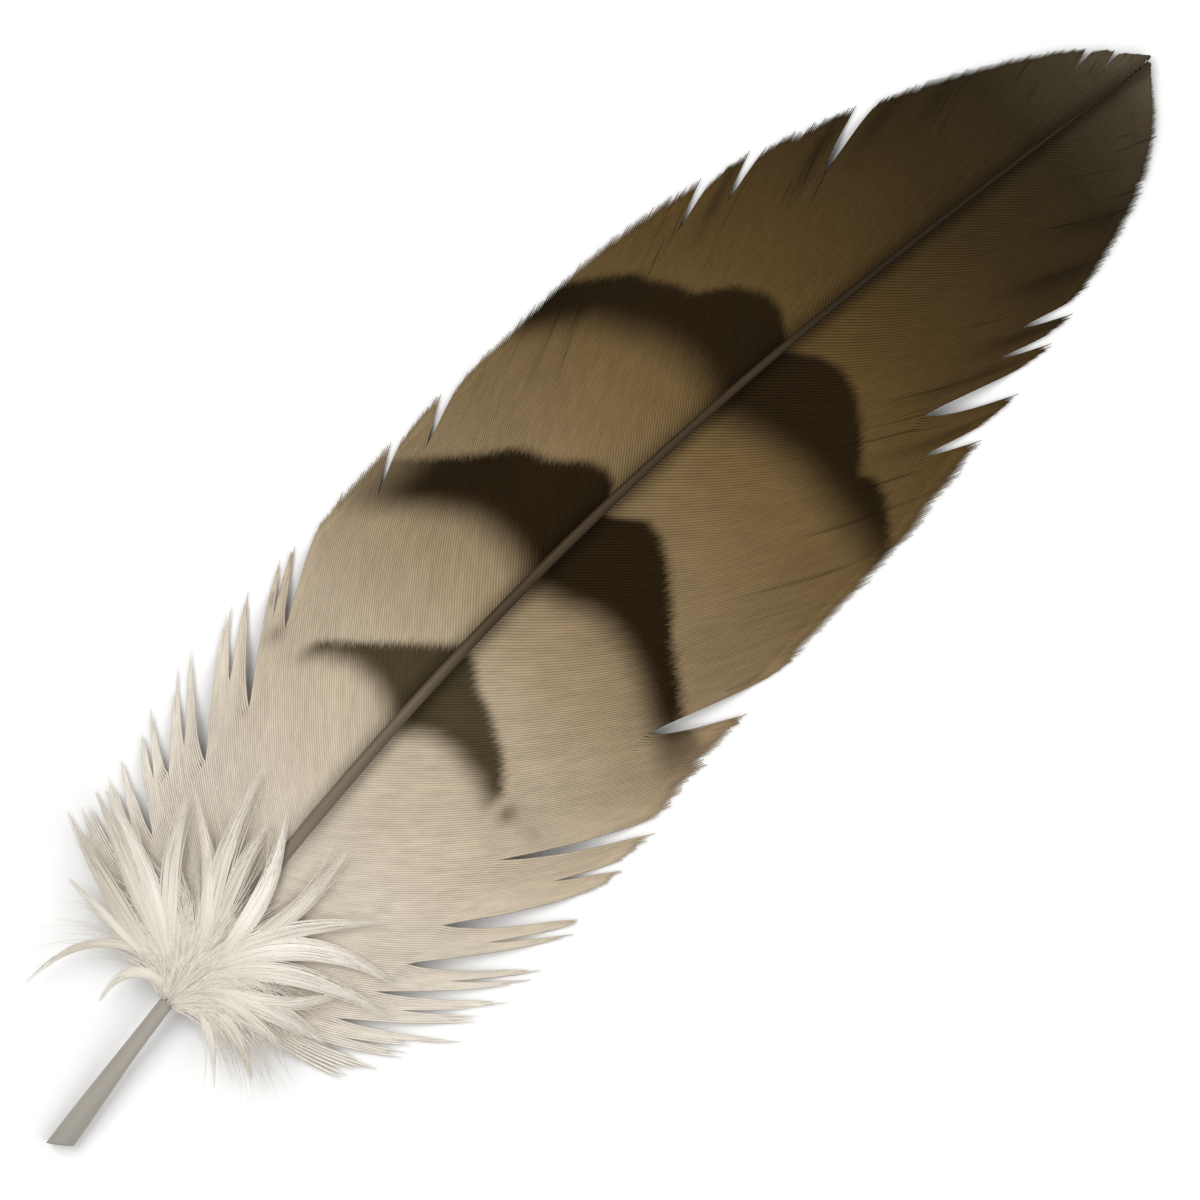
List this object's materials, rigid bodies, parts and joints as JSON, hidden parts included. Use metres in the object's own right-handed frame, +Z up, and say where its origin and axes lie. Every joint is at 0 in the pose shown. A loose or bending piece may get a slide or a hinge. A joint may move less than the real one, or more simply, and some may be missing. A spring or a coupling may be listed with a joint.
{
  "type": "feather",
  "caption": "Brown barred flight feather with a cut quill, split vanes on both sides of a bowed shaft and a pale tuft of down at their foot; lies loose on a surface.",
  "frame": {"origin": "middle of the feather's footprint, on the surface that it lies on", "axes": "+X from the cut quill to the tip, +Y towards the left vane, +Z up out of the glossy upper side"},
  "size_m": [0.1554, 0.0476, 0.0073],
  "materials": {
    "shaft_horn": "smooth satin horn, pale grey at the quill and dark brown along the vanes",
    "vane": "fine soft barbs, cream at the foot to dark brown at the tip, with dark bars",
    "down": "soft cream down"
  },
  "bodies": {
    "root": {"shaft": "shaft_horn", "left_vane": "vane", "right_vane": "vane", "down_tuft": "down"}
  },
  "joints": []
}
